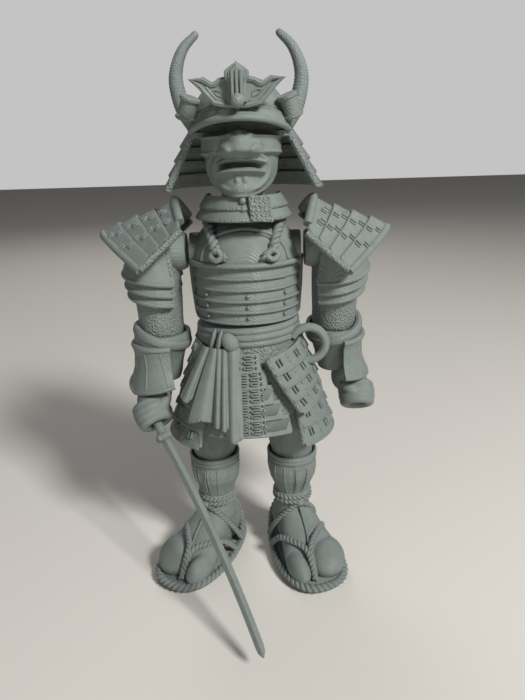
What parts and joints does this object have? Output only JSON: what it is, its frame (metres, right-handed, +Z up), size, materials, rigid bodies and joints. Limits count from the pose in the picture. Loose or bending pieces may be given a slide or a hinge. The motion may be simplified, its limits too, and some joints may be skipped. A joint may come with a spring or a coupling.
{
  "type": "articulated samurai figurine",
  "caption": "Standing samurai figurine in plate armour with a horned helmet and a lowered sword, printed in place with a turning head and waist and jointed arms and legs.",
  "frame": {"origin": "centre of the bounding box's base, on the surface that the soles stand on", "axes": "+Z up, -Y the way the figure faces, +X to the figure's own left"},
  "size_m": [0.1234, 0.109, 0.2368],
  "materials": {
    "grey_filament": "matt, with fine layer lines"
  },
  "bodies": {
    "hips": {"hips": "grey_filament"},
    "torso": {"torso": "grey_filament"},
    "head": {"head": "grey_filament"},
    "upper_arm_left": {"upper_arm_left": "grey_filament"},
    "upper_arm_right": {"upper_arm_right": "grey_filament"},
    "forearm_left": {"forearm_left": "grey_filament"},
    "forearm_right": {"forearm_right": "grey_filament", "sword": "grey_filament"},
    "thigh_left": {"thigh_left": "grey_filament"},
    "thigh_right": {"thigh_right": "grey_filament"},
    "shin_left": {"shin_left": "grey_filament"},
    "shin_right": {"shin_right": "grey_filament"}
  },
  "joints": [
    {"name": "waist_turn", "type": "hinge", "parent": "hips", "child": "torso", "pos_m": [0, 0.023, 0.126], "axis": [0, 0, 1], "range_deg": [-1, 12]},
    {"name": "neck_turn", "type": "hinge", "parent": "torso", "child": "head", "pos_m": [0, 0.023, 0.168], "axis": [0, 0, 1], "range_deg": [-60, 60]},
    {"name": "shoulder_left", "type": "hinge", "parent": "torso", "child": "upper_arm_left", "pos_m": [0.024, 0.023, 0.155], "axis": [1, 0, 0], "range_deg": [-1, 100]},
    {"name": "shoulder_right", "type": "hinge", "parent": "torso", "child": "upper_arm_right", "pos_m": [-0.024, 0.023, 0.155], "axis": [1, 0, 0], "range_deg": [-100, 0.5]},
    {"name": "elbow_left", "type": "hinge", "parent": "upper_arm_left", "child": "forearm_left", "pos_m": [0.039, 0.02829, 0.11737], "axis": [0, -0.1392, 0.9903], "range_deg": [-12, 60]},
    {"name": "elbow_right", "type": "hinge", "parent": "upper_arm_right", "child": "forearm_right", "pos_m": [-0.039, 0.023, 0.117], "axis": [0, 0, 1], "range_deg": [-75, 1]},
    {"name": "hip_left", "type": "hinge", "parent": "hips", "child": "thigh_left", "pos_m": [0.0145, 0.023, 0.09], "axis": [1, 0, 0], "range_deg": [-25, 25]},
    {"name": "hip_right", "type": "hinge", "parent": "hips", "child": "thigh_right", "pos_m": [-0.0145, 0.023, 0.09], "axis": [1, 0, 0], "range_deg": [-25, 25]},
    {"name": "knee_left", "type": "hinge", "parent": "thigh_left", "child": "shin_left", "pos_m": [0.019, 0.023, 0.057], "axis": [0, 0, 1], "range_deg": [-45, 45]},
    {"name": "knee_right", "type": "hinge", "parent": "thigh_right", "child": "shin_right", "pos_m": [-0.019, 0.023, 0.057], "axis": [0, 0, 1], "range_deg": [-45, 45]}
  ]
}
